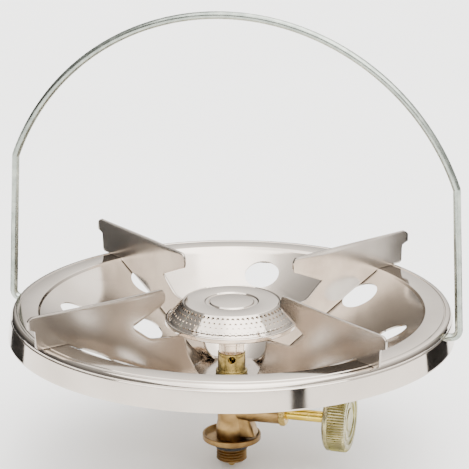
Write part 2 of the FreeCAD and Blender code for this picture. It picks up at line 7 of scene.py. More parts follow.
import logging
import math
from collections.abc import Callable, Sequence
from dataclasses import dataclass
from enum import Enum

import bmesh
import bpy
import numpy as np
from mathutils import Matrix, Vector


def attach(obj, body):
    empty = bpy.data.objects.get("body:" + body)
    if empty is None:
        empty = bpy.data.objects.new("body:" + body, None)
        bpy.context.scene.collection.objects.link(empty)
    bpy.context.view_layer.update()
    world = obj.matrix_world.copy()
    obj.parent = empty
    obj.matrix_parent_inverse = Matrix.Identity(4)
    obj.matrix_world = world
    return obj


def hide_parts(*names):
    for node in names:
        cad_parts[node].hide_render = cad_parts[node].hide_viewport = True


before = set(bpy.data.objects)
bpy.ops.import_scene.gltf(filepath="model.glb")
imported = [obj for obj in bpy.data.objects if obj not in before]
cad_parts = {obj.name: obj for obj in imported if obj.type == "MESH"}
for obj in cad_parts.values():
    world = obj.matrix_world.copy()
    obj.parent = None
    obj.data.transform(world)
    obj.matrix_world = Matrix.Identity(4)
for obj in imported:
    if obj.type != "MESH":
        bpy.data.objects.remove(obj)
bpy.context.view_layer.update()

MM = 0.001
TURN = 2.0 * math.pi
# The middle of a noise texture's values, which a finish spreads over its whole range.
NOISE_LOW, NOISE_HIGH = 0.3, 0.7
# Where worn clouds start and are full, how much they tint, and their size in colour clouds.
WEAR_START, WEAR_FULL, WEAR_SHARE, WEAR_PATCHES = 0.48, 0.68, 0.75, 2.3
LOG = logging.getLogger("stove_head")

Corner = tuple[float, float, float]


class Body(Enum):
    """The moving bodies of the frame."""

    STOVE = "stove"
    BAIL = "bail"
    SPINDLE = "spindle"


class Spin(Enum):
    """The axis that a turned piece is turned about."""

    UPRIGHT = "upright"
    SPINDLE = "along the spindle"


# ---------------------------------------------------------------- colour and nodes


def srgb(code: str) -> tuple[float, float, float, float]:
    """Turn an sRGB hex colour into linear light.

    Args:
        code: The colour as "#RRGGBB".

    Returns:
        Linear red, green, blue and an alpha of one.
    """
    parts = np.array([int(code[i:i + 2], 16) for i in (1, 3, 5)]) / 255.0
    low = parts / 12.92
    high = ((parts + 0.055) / 1.055) ** 2.4
    linear = np.where(parts <= 0.04045, low, high)
    return (*linear.tolist(), 1.0)


def per_metre(size_mm: float) -> float:
    """Texture scale whose features are size_mm across on Object coordinates in metres."""
    return 1.0 / (size_mm * MM)


def add_node(tree: bpy.types.NodeTree, kind: str, values: dict | None = None,
             links: dict | None = None, **settings: object) -> bpy.types.Node:
    """Add one node with its settings, socket values and incoming links.

    Args:
        tree: The node tree.
        kind: The node's type name.
        values: Numbers or colours by input name or index.
        links: Output sockets by input name or index.
        **settings: Attributes of the node itself.

    Returns:
        The new node.
    """
    node = tree.nodes.new(kind)
    for key, setting in settings.items():
        setattr(node, key, setting)
    for key, number in (values or {}).items():
        node.inputs[key].default_value = number
    for key, socket in (links or {}).items():
        tree.links.new(socket, node.inputs[key])
    return node


def ramp(tree: bpy.types.NodeTree, socket: bpy.types.NodeSocket,
         stops: Sequence[tuple[float, str]]) -> bpy.types.NodeSocket:
    """Colour a 0 to 1 value through a ramp.

    Args:
        tree: The node tree.
        socket: The value that is coloured.
        stops: Positions and sRGB hex colours, in order.

    Returns:
        The ramp's colour output.
    """
    node = add_node(tree, "ShaderNodeValToRGB", links={0: socket})
    elements = node.color_ramp.elements
    while len(elements) < len(stops):
        elements.new(0.5)
    for element, (position, code) in zip(elements, stops):
        element.position = position
        element.color = srgb(code)
    return node.outputs[0]


def begin_material(name: str) -> tuple[bpy.types.Material, bpy.types.NodeTree,
                                       bpy.types.Node, bpy.types.NodeSocket]:
    """Start a node material.

    Args:
        name: The material's name.

    Returns:
        The material, its node tree, its shader and the Object coordinates.
    """
    material = bpy.data.materials.new(name)
    material.use_nodes = True
    tree = material.node_tree
    place = add_node(tree, "ShaderNodeTexCoord").outputs["Object"]
    return material, tree, tree.nodes["Principled BSDF"], place


@dataclass(frozen=True)
class Metal:
    """A metal finish: two close tones, cloudy gloss and one direction of fine tool marks.

    Attributes:
        name: The material's name.
        tones: Ramp of sRGB hex colours, dull to bright.
        patch_mm: Size of the colour clouds.
        gloss: Lowest and highest roughness.
        smear_mm: Size of the gloss clouds.
        mark_mm: Size of a tool mark along x, y and z, long on the axis that it runs along.
        mark_depth_mm: Height of the tool marks.
        wave_mm: Size of the sheet's slow unevenness.
        wave_depth_mm: Height of that unevenness.
        wear: Tint of the worn or bloomed clouds, or nothing.
    """

    name: str
    tones: tuple[tuple[float, str], ...]
    patch_mm: float
    gloss: tuple[float, float]
    smear_mm: float
    mark_mm: tuple[float, float, float]
    mark_depth_mm: float
    wave_mm: float = 20.0
    wave_depth_mm: float = 0.0
    wear: str = ""

    def material(self) -> bpy.types.Material:
        """Build the node material once and give it back afterwards."""
        made = bpy.data.materials.get(self.name)
        if made is not None:
            return made
        material, tree, shader, place = begin_material(self.name)
        shader.inputs["Metallic"].default_value = 1.0
        patches = self.noise(tree, place, self.patch_mm, 3.0)
        colour = ramp(tree, patches, self.tones)
        if self.wear:
            colour = self.worn(tree, place, colour)
        tree.links.new(colour, shader.inputs["Base Color"])
        smears = self.noise(tree, place, self.smear_mm, 4.0)
        rough = add_node(tree, "ShaderNodeMapRange", {
            "From Min": NOISE_LOW, "From Max": NOISE_HIGH,
            "To Min": self.gloss[0], "To Max": self.gloss[1]}, {"Value": smears})
        tree.links.new(rough.outputs[0], shader.inputs["Roughness"])
        tree.links.new(self.relief(tree, place), shader.inputs["Normal"])
        return material

    def noise(self, tree: bpy.types.NodeTree, place: bpy.types.NodeSocket, size_mm: float,
              detail: float) -> bpy.types.NodeSocket:
        """Cloudy noise with features of size_mm.

        Args:
            tree: The node tree.
            place: Object coordinates.
            size_mm: Feature size.
            detail: Octaves of detail.

        Returns:
            The noise value.
        """
        values = {"Scale": per_metre(size_mm), "Detail": detail}
        return add_node(tree, "ShaderNodeTexNoise", values, {"Vector": place}).outputs[0]

    def worn(self, tree: bpy.types.NodeTree, place: bpy.types.NodeSocket,
             colour: bpy.types.NodeSocket) -> bpy.types.NodeSocket:
        """Mix a second tint in along soft-edged clouds.

        Args:
            tree: The node tree.
            place: Object coordinates.
            colour: The colour so far.

        Returns:
            The mixed colour.
        """
        clouds = self.noise(tree, place, self.patch_mm * WEAR_PATCHES, 2.0)
        share = add_node(tree, "ShaderNodeMapRange", {
            "From Min": WEAR_START, "From Max": WEAR_FULL, "To Max": WEAR_SHARE},
            {"Value": clouds})
        mix = add_node(tree, "ShaderNodeMix", {7: srgb(self.wear)},
                       {0: share.outputs[0], 6: colour}, data_type="RGBA")
        return mix.outputs[2]

    def relief(self, tree: bpy.types.NodeTree,
               place: bpy.types.NodeSocket) -> bpy.types.NodeSocket:
        """Bump of tool marks and of slow unevenness, each with a height in mm.

        Args:
            tree: The node tree.
            place: Object coordinates.

        Returns:
            The bumped normal.
        """
        stretch = add_node(tree, "ShaderNodeMapping", {
            "Scale": tuple(per_metre(size) for size in self.mark_mm)}, {"Vector": place})
        marks = add_node(tree, "ShaderNodeTexNoise", {"Scale": 1.0, "Detail": 2.0},
                         {"Vector": stretch.outputs[0]}).outputs[0]
        bump = add_node(tree, "ShaderNodeBump",
                        {"Strength": 1.0, "Distance": self.mark_depth_mm * MM},
                        {"Height": marks}).outputs[0]
        if self.wave_depth_mm:
            waves = self.noise(tree, place, self.wave_mm, 1.0)
            bump = add_node(tree, "ShaderNodeBump",
                            {"Strength": 1.0, "Distance": self.wave_depth_mm * MM},
                            {"Height": waves, "Normal": bump}).outputs[0]
        return bump


@dataclass(frozen=True)
class Matt:
    """A dull non-metal finish with a fine grain.

    Attributes:
        name: The material's name.
        tones: Ramp of sRGB hex colours.
        grain_mm: Size of the grain.
        grain_depth_mm: Height of the grain.
        roughness: Surface roughness.
        index: Index of refraction.
    """

    name: str
    tones: tuple[tuple[float, str], ...]
    grain_mm: float
    grain_depth_mm: float
    roughness: float
    index: float

    def material(self) -> bpy.types.Material:
        """Build the node material once and give it back afterwards."""
        made = bpy.data.materials.get(self.name)
        if made is not None:
            return made
        material, tree, shader, place = begin_material(self.name)
        shader.inputs["Roughness"].default_value = self.roughness
        shader.inputs["IOR"].default_value = self.index
        grain = add_node(tree, "ShaderNodeTexNoise", {
            "Scale": per_metre(self.grain_mm), "Detail": 3.0}, {"Vector": place}).outputs[0]
        tree.links.new(ramp(tree, grain, self.tones), shader.inputs["Base Color"])
        bump = add_node(tree, "ShaderNodeBump",
                        {"Strength": 1.0, "Distance": self.grain_depth_mm * MM},
                        {"Height": grain})
        tree.links.new(bump.outputs[0], shader.inputs["Normal"])
        return material


# Bright nickel-chrome plate on drawn steel: clear reflections with a warm cast, slightly
# wavy where the sheet was drawn.
BRIGHT_PLATE = Metal(
    "bright_nickel_plate", ((0.30, "#BDB2A6"), (0.70, "#CEC4B9")), 38.0, (0.06, 0.13), 26.0,
    (1.2, 1.2, 1.2), 0.0012, wave_mm=34.0, wave_depth_mm=0.035)
# The same plate on stamped blades: duller, with the long marks of the rolled sheet.
SATIN_PLATE = Metal(
    "satin_nickel_plate", ((0.30, "#9E958C"), (0.70, "#BBB2A8")), 22.0, (0.20, 0.25), 34.0,
    (34.0, 34.0, 2.6), 0.010, wave_mm=40.0, wave_depth_mm=0.03)
# Turned brass left bare: a clear yellow with fine rings from the tool.
TURNED_BRASS = Metal(
    "turned_brass_bare", ((0.30, "#BD9F5A"), (0.70, "#DCC27C")), 7.0, (0.20, 0.32), 5.0,
    (6.0, 6.0, 0.35), 0.012)
# The spindle's brass: turned along the other axis.
SPINDLE_BRASS = Metal(
    "turned_brass_spindle", ((0.30, "#DDBB3F"), (0.70, "#F2D568")), 7.0, (0.18, 0.28), 5.0,
    (0.35, 6.0, 6.0), 0.012)
# The air collar's brass has dulled to olive.
DULL_BRASS = Metal(
    "turned_brass_dulled", ((0.30, "#766A40"), (0.70, "#A5945C")), 5.0, (0.26, 0.38), 4.0,
    (5.0, 5.0, 0.4), 0.012)
# Hot-forged brass: browner, mottled, with a sandy skin.
FORGED_BRASS = Metal(
    "forged_brass_tarnished", ((0.25, "#7D623C"), (0.75, "#AE8F5E")), 6.0, (0.28, 0.44), 5.0,
    (0.9, 0.9, 0.9), 0.03, wear="#5F4529")
# Zinc plate passivated yellow: silvery with a green-gold bloom.
YELLOW_ZINC = Metal(
    "yellow_passivated_zinc", ((0.25, "#8C8460"), (0.75, "#C6BD94")), 8.0, (0.22, 0.36), 5.0,
    (0.8, 0.8, 0.8), 0.008, wear="#7F7A3C")
# Galvanised drawn wire: cool grey with a fine spangle and die marks along it.
WIRE_ZINC = Metal(
    "galvanised_wire_satin", ((0.25, "#868D86"), (0.75, "#AEB4AA")), 5.0, (0.20, 0.32), 6.0,
    (1.6, 1.6, 12.0), 0.012, wave_mm=7.0, wave_depth_mm=0.02)
# Moulded nitrile rubber: near black, soft sheen.
NITRILE = Matt("moulded_nitrile", ((0.3, "#141414"), (0.7, "#242322")), 0.6, 0.01, 0.55, 1.52)
# Pressed felt filter: off-white fibres.
FELT = Matt("pressed_felt", ((0.3, "#A9A08C"), (0.7, "#D8D0BE")), 0.3, 0.05, 0.95, 1.5)


# ---------------------------------------------------------------- surfaces


def rounded(corners: Sequence[Corner], closed: bool = False, steps: int = 5) -> np.ndarray:
    """Line through corners, each replaced by an arc that is tangent to both its sides.

    Args:
        corners: Each corner's two coordinates and its rounding radius, in mm.
        closed: Whether the last corner joins the first.
        steps: Segments in each arc.

    Returns:
        Points of shape (n, 2), in mm.
    """
    spots = np.array([corner[:2] for corner in corners], float)
    count = len(corners)
    line = []
    for index, (_, _, radius) in enumerate(corners):
        here = spots[index]
        if radius <= 0 or (not closed and index in (0, count - 1)):
            line.append(here[None])
            continue
        back = spots[index - 1] - here
        ahead = spots[(index + 1) % count] - here
        back_length, ahead_length = np.linalg.norm(back), np.linalg.norm(ahead)
        back, ahead = back / back_length, ahead / ahead_length
        half = math.acos(float(np.clip(back @ ahead, -0.9999, 0.9999))) / 2
        reach = min(radius / math.tan(half), 0.48 * back_length, 0.48 * ahead_length)
        middle = back + ahead
        centre = here + middle / np.linalg.norm(middle) * reach / math.cos(half)
        first, last = here + back * reach - centre, here + ahead * reach - centre
        sweep = math.pi - 2 * half
        share = np.linspace(0, 1, steps + 1)[:, None]
        line.append(centre + (np.sin((1 - share) * sweep) * first
                              + np.sin(share * sweep) * last) / math.sin(sweep))
    return np.vstack(line)


def spaced(line: np.ndarray, count: int) -> np.ndarray:
    """Points at equal steps along a line, by its length.

    Args:
        line: Points of shape (n, 2).
        count: Segments wanted.

    Returns:
        Points of shape (count + 1, 2).
    """
    steps = np.linalg.norm(np.diff(line, axis=0), axis=1)
    run = np.concatenate([[0.0], np.cumsum(steps)])
    wanted = np.linspace(0, run[-1], count + 1)
    return np.stack([np.interp(wanted, run, line[:, k]) for k in (0, 1)], axis=1)


def ruled(low: np.ndarray, high: np.ndarray, rows: int) -> np.ndarray:
    """Surface between two lines: point(u, v) = (1 - v) low(u) + v high(u)."""
    share = np.linspace(0, 1, rows + 1)[:, None, None]
    return (1 - share) * low[None] + share * high[None]


def turned(profile: np.ndarray, segments: int, spin: Spin = Spin.UPRIGHT, start: float = 0.0,
           centre: tuple[float, float, float] = (0.0, 0.0, 0.0),
           ripple: Callable[[np.ndarray, np.ndarray, np.ndarray], np.ndarray] | None = None
           ) -> np.ndarray:
    """Turn a profile: point(v, a) = radius(v) at angle a about the axis, height(v) along it.

    Args:
        profile: Radius and height, of shape (n, 2), in mm.
        segments: Columns around the axis.
        spin: The axis.
        start: Angle of the first column, in degrees.
        centre: Where the axis starts, in mm.
        ripple: Changes the radius from radius, height and angle, for ridges and flats.

    Returns:
        Points of shape (n, segments, 3), in mm.
    """
    angle = math.radians(start) + np.arange(segments) * TURN / segments
    radius = np.repeat(profile[:, :1], segments, axis=1)
    height = np.repeat(profile[:, 1:], segments, axis=1)
    angle = np.repeat(angle[None], len(profile), axis=0)
    if ripple is not None:
        radius = ripple(radius, height, angle)
    across, up = radius * np.cos(angle), radius * np.sin(angle)
    if spin is Spin.UPRIGHT:
        grid = np.stack([across, up, height], axis=-1)
    else:
        grid = np.stack([height, across, up], axis=-1)
    return grid + np.array(centre)


def pierced(boundary: np.ndarray, centre: np.ndarray, radius: float,
            rows: Sequence[float]) -> np.ndarray:
    """Plan of a panel with a round hole: point(b, k) = (1 - b) hole(k) + b boundary(k).

    Args:
        boundary: Points around the panel, anticlockwise, of shape (k, 2).
        centre: The hole's centre.
        radius: The hole's radius.
        rows: Values of b, from 0 at the hole to 1 at the boundary.

    Returns:
        Points of shape (rows, k, 2).
    """
    outward = boundary - centre
    hole = centre + radius * outward / np.linalg.norm(outward, axis=1, keepdims=True)
    share = np.array(rows)[:, None, None]
    return (1 - share) * hole[None] + share * boundary[None]


def frame_of(u_range: tuple[float, float], v_range: tuple[float, float], u_count: int,
             v_count: int) -> np.ndarray:
    """Points around a rectangle, anticlockwise when u runs along and v runs against it.

    Args:
        u_range: Low and high u.
        v_range: Low and high v.
        u_count: Segments along u.
        v_count: Segments along v.

    Returns:
        Points of shape (2 (u_count + v_count), 2), as u and v.
    """
    u = np.linspace(*u_range, u_count + 1)
    v = np.linspace(*v_range, v_count + 1)
    sides = [
        np.stack([u[:-1], np.full(u_count, v[-1])], axis=1),
        np.stack([np.full(v_count, u[-1]), v[:0:-1]], axis=1),
        np.stack([u[:0:-1], np.full(u_count, v[0])], axis=1),
        np.stack([np.full(v_count, u[0]), v[:-1]], axis=1),
    ]
    return np.vstack(sides)


class Shell:
    """A mesh put together from grids of points in millimetres."""

    def __init__(self, name: str) -> None:
        """Start an empty mesh of that name."""
        self.name = name
        self.points: list[np.ndarray] = []
        self.faces: list[np.ndarray] = []
        self.count = 0

    def add(self, grid: np.ndarray, wrap_rows: bool = False, wrap_columns: bool = False,
            flip: bool = False) -> "Shell":
        """Add a grid's points and its quads.

        Args:
            grid: Points of shape (rows, columns, 3).
            wrap_rows: Whether the last row joins the first.
            wrap_columns: Whether the last column joins the first.
            flip: Whether the faces look the other way.

        Returns:
            The shell itself.
        """
        rows, columns = grid.shape[:2]
        index = np.arange(rows * columns).reshape(rows, columns) + self.count
        if wrap_rows:
            index = np.vstack([index, index[:1]])
        if wrap_columns:
            index = np.hstack([index, index[:, :1]])
        quads = np.stack([index[:-1, :-1], index[1:, :-1], index[1:, 1:], index[:-1, 1:]],
                         axis=-1).reshape(-1, 4)
        self.points.append(grid.reshape(-1, 3))
        self.faces.append(quads[:, ::-1] if flip else quads)
        self.count += rows * columns
        return self

    def build(self, closed: bool = True, weld_mm: float = 0.004) -> bpy.types.Object:
        """Make the object, with shared points merged.

        Args:
            closed: Whether the surface is closed, and gets its faces turned outwards.
            weld_mm: Points closer than this become one.

        Returns:
            The object, at the origin.
        """
        mesh = bpy.data.meshes.new(self.name)
        mesh.from_pydata((np.vstack(self.points) * MM).tolist(), [],
                         np.vstack(self.faces).tolist())
        work = bmesh.new()
        work.from_mesh(mesh)
        bmesh.ops.remove_doubles(work, verts=work.verts, dist=weld_mm * MM)
        bmesh.ops.dissolve_degenerate(work, edges=work.edges, dist=weld_mm * MM / 4)
        if closed:
            bmesh.ops.recalc_face_normals(work, faces=work.faces)
        work.to_mesh(mesh)
        work.free()
        piece = bpy.data.objects.new(self.name, mesh)
        bpy.context.scene.collection.objects.link(piece)
        return piece


def lathe(name: str, line: np.ndarray, segments: int, closed: bool = False,
          spin: Spin = Spin.UPRIGHT, centre: tuple[float, float, float] = (0.0, 0.0, 0.0),
          ripple: Callable[[np.ndarray, np.ndarray, np.ndarray], np.ndarray] | None = None
          ) -> bpy.types.Object:
    """Turn a whole piece from its outline, by the formula of turned().

    Args:
        name: The piece's name.
        line: Radius and height of the outline, in mm.
        segments: Columns around the axis.
        closed: Whether the outline's last point joins its first.
        spin: The axis.
        centre: Where the axis starts, in mm.
        ripple: Changes the radius, as in turned().

    Returns:
        The object.
    """
    grid = turned(line, segments, spin, centre=centre, ripple=ripple)
    return Shell(name).add(grid, wrap_rows=closed, wrap_columns=True).build()


def thicken(piece: bpy.types.Object, gauge_mm: float, offset: float = -1.0) -> None:
    """Give a sheet its gauge; offset -1 grows it against its normals, 0 both ways."""
    wall = piece.modifiers.new("gauge", "SOLIDIFY")
    wall.thickness = gauge_mm * MM
    wall.offset = offset
    wall.use_even_offset = True


def ease(piece: bpy.types.Object, width_mm: float, segments: int = 2,
         angle: float = 40.0) -> None:
    """Round the sharp edges of a piece, as the tumbling after stamping does."""
    bevel = piece.modifiers.new("edge", "BEVEL")
    bevel.width = width_mm * MM
    bevel.segments = segments
    bevel.limit_method = "ANGLE"
    bevel.angle_limit = math.radians(angle)
    bevel.harden_normals = False


def settle(piece: bpy.types.Object, angle: float = 38.0) -> bpy.types.Object:
    """Put a piece's modifiers into its mesh and shade it smooth up to an angle.

    Args:
        piece: The object.
        angle: Edges sharper than this stay sharp, in degrees.

    Returns:
        The same object.
    """
    if piece.modifiers:
        graph = bpy.context.evaluated_depsgraph_get()
        mesh = bpy.data.meshes.new_from_object(piece.evaluated_get(graph))
        piece.modifiers.clear()
        piece.data = mesh
    piece.data.shade_smooth()
    piece.data.set_sharp_from_angle(angle=math.radians(angle))
    return piece


def dress(piece: bpy.types.Object, finish: Metal | Matt, body: Body, slot: str,
          *nodes: str) -> bpy.types.Object:
    """Give a piece its finish, its body, its slot and the nodes that it stands for.

    Args:
        piece: The finished object.
        finish: Its finish.
        body: The body that it rides on.
        slot: The record's material slot; not used.
        *nodes: CAD nodes that it replaces.

    Returns:
        The same object.
    """
    piece.data.materials.clear()
    piece.data.materials.append(finish.material())
    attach(piece, body.value)
    if nodes:
        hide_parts(*nodes)
    LOG.info("%s: %d faces on %s", piece.name, len(piece.data.polygons), body.value)
    return piece


# ---------------------------------------------------------------- sub-assemblies


@dataclass
class Dish:
    """The pressed dish: flat floor, pierced cone, flange, beaded rim and flared band."""

    gauge: float = 0.8
    floor_z: float = 39.5
    floor_radius: float = 23.5
    cone_radius: float = 98.5
    cone_z: float = 75.8
    rim_z: float = 77.0
    centre_hole: float = 5.1
    hole_count: int = 8
    outer_hole: tuple[float, float] = (81.5, 9.2)
    inner_hole: tuple[float, float] = (54.0, 8.0)
    ring_edges: tuple[float, float, float] = (42.0, 66.0, 95.5)
    first_hole: float = 4.0
    per_sector: int = 24

    def cone(self, radius: np.ndarray) -> np.ndarray:
        """Height of the cone: a straight rise from the floor's edge to the step."""
        rise = (self.cone_z - self.floor_z) / (self.cone_radius - self.floor_radius)
        return self.floor_z + (radius - self.floor_radius) * rise

    def panels(self, shell: Shell, circle: float, radius: float, low: float, high: float,
               first: float) -> None:
        """Add one ring of pierced panels, laid out by azimuth and radius on the cone.

        Args:
            shell: The mesh.
            circle: Radius of the circle that the holes' centres are on.
            radius: The holes' radius.
            low: The ring's inner radius.
            high: The ring's outer radius.
            first: Azimuth of the first hole, in degrees.
        """
        pitch = 360.0 / self.hole_count
        sides = frame_of((-pitch / 2, pitch / 2), (low, high), self.per_sector, 12)
        angle = np.radians(sides[:, 0])
        plan = np.stack([sides[:, 1] * np.cos(angle), sides[:, 1] * np.sin(angle)], axis=1)
        grid = pierced(plan, np.array([circle, 0.0]), radius, (0, 0.06, 0.2, 0.4, 0.7, 1))
        for index in range(self.hole_count):
            turn = math.radians(first + index * pitch)
            x = grid[..., 0] * math.cos(turn) - grid[..., 1] * math.sin(turn)
            y = grid[..., 0] * math.sin(turn) + grid[..., 1] * math.cos(turn)
            z = self.cone(np.hypot(x, y))
            shell.add(np.stack([x, y, z], axis=-1), wrap_columns=True)

    def build(self) -> None:
        """Make the sheet from its turned rings and its pierced rings, then its gauge."""
        shell = Shell("dish_pressing")
        inner, middle, outer = self.ring_edges
        columns = self.per_sector * self.hole_count
        start = self.first_hole - 180.0 / self.hole_count
        floor = rounded([
            (self.centre_hole, self.floor_z, 0), (self.floor_radius, self.floor_z, 5.0),
            (inner, float(self.cone(np.array(inner))), 0)], steps=6)
        top = self.rim_z
        rim = rounded([
            (outer, float(self.cone(np.array(outer))), 0),
            (self.cone_radius, self.cone_z, 0.35), (99.5, top, 0.5),
            (109.0, top, 0.2), (109.3, top - 0.35, 0.1), (109.7, top - 0.35, 0.1),
            (110.0, top - 0.02, 0.2), (112.4, top - 0.25, 1.6), (113.35, top - 2.3, 0.7),
            (113.1, top - 2.9, 0.25), (113.6, top - 3.5, 0.4), (115.0, top - 13.3, 0.2),
            (114.9, top - 14.0, 0)], steps=4)
        shell.add(turned(floor, columns, start=start), wrap_columns=True)
        self.panels(shell, *self.inner_hole, inner, middle,
                    self.first_hole + 180.0 / self.hole_count)
        self.panels(shell, *self.outer_hole, middle, outer, self.first_hole)
        shell.add(turned(rim, columns, start=start), wrap_columns=True)
        piece = shell.build(closed=False)
        thicken(piece, self.gauge)
        dress(settle(piece), BRIGHT_PLATE, Body.STOVE, "bright_steel", "dish")


@dataclass
class PanSupport:
    """One stamping: a hub disc on the dish floor and four blades turned up on edge."""

    gauge: float = 1.2
    azimuths: tuple[float, ...] = (54.0, 142.5, 229.7, 323.5)
    bows: tuple[float, ...] = (0.5, -0.6, 0.9, -0.9)
    rim_z: float = 77.0
    floor_z: float = 39.5
    hub_radius: float = 23.4
    hub_hole: float = 5.1
    notch: tuple[float, float] = (61.0, 1.2)
    root_bend: float = 9.0

    def outline(self) -> dict[str, np.ndarray]:
        """The blade's border lines, as radius and height above the rim."""
        notch = (*self.notch, 0)
        return {
            "foot": rounded([
                (self.notch[0], -18.95, 0), (98.5, -0.8, 0.4), (99.9, 0.02, 0.5),
                (116.5, 0.02, 0.5), (116.8, 10.0, 1.2), (121.0, 11.4, 0)], steps=4),
            "middle": np.array([[self.notch[0], self.notch[1]], [121.0, 13.3]]),
            "rest": rounded([(self.notch[0], 17.5, 0), (119.2, 17.5, 2.0), (121.0, 15.3, 0)]),
            "cone": np.array([[20.0, -37.1], [24.0, -36.9], [self.notch[0], -18.95]]),
            "neck": rounded([(20.0, -35.3, 0), (27.2, -20.5, 5.0), (29.2, -9.9, 2.4),
                             (50.0, -7.5, 9.0), notch], steps=5),
            "nose_low": rounded([(41.0, 13.0, 0), (41.2, 9.6, 1.6), (44.5, 8.5, 1.5), notch],
                                steps=4),
            "nose_top": rounded([(41.0, 14.2, 0), (42.0, 17.5, 2.4), (self.notch[0], 17.5, 0)],
                                steps=5),
        }

    def sheet(self) -> list[np.ndarray]:
        """The blade's four patches, each ruled between two border lines."""
        line = self.outline()
        across, along = 26, 34
        return [
            ruled(spaced(line["cone"], across), spaced(line["neck"], across), 8),
            ruled(spaced(line["nose_low"], 14), spaced(line["nose_top"], 14), 6),
            ruled(spaced(line["foot"], along), spaced(line["middle"], along), 8),
            ruled(spaced(line["middle"], along), spaced(line["rest"], along), 6),
        ]

    def sideways(self, radius: np.ndarray, height: np.ndarray, bow: float) -> np.ndarray:
        """Sideways offset: a slow bow along the blade, and at the root a quarter bend.

        Args:
            radius: Distance from the axis.
            height: Height above the rim.
            bow: Offset of the bow's middle.

        Returns:
            The offset, in mm.
        """
        share = np.clip((radius - 24.0) / 97.0, 0, 1)
        curve = bow * np.sin(math.pi * share) ** 2
        above = np.clip(height + self.rim_z - self.floor_z - 0.6, 0, self.root_bend)
        bend = self.root_bend - np.sqrt(
            self.root_bend ** 2 - (self.root_bend - above) ** 2 + 1e-9)
        near = np.clip((38.0 - radius) / 12.0, 0, 1)
        return curve + bend * near * near * (3 - 2 * near) * np.sign(bow)

    def build(self) -> None:
        """Make the hub and the blades, and thicken each one about its middle."""
        pieces = []
        for index, (azimuth, bow) in enumerate(zip(self.azimuths, self.bows)):
            turn = math.radians(azimuth)
            shell = Shell(f"pan_support_blade_{index + 1}")
            for patch in self.sheet():
                radius, height = patch[..., 0], patch[..., 1]
                side = self.sideways(radius, height, bow)
                shell.add(np.stack([
                    radius * math.cos(turn) - side * math.sin(turn),
                    radius * math.sin(turn) + side * math.cos(turn),
                    height + self.rim_z], axis=-1))
            blade = shell.build(closed=False, weld_mm=0.02)
            thicken(blade, self.gauge, 0.0)
            ease(blade, 0.28)
            pieces.append(settle(blade, 50.0))
        low = self.floor_z + 0.02
        hub = lathe("pan_support_hub", rounded([
            (self.hub_hole, low, 0.1), (self.hub_radius, low, 0.1),
            (self.hub_radius, low + self.gauge, 0.4), (self.hub_hole, low + self.gauge, 0.1),
        ], closed=True, steps=3), 96, closed=True)
        pieces.append(settle(hub))
        for piece in pieces:
            dress(piece, SATIN_PLATE, Body.STOVE, "satin_steel", "pan_support")


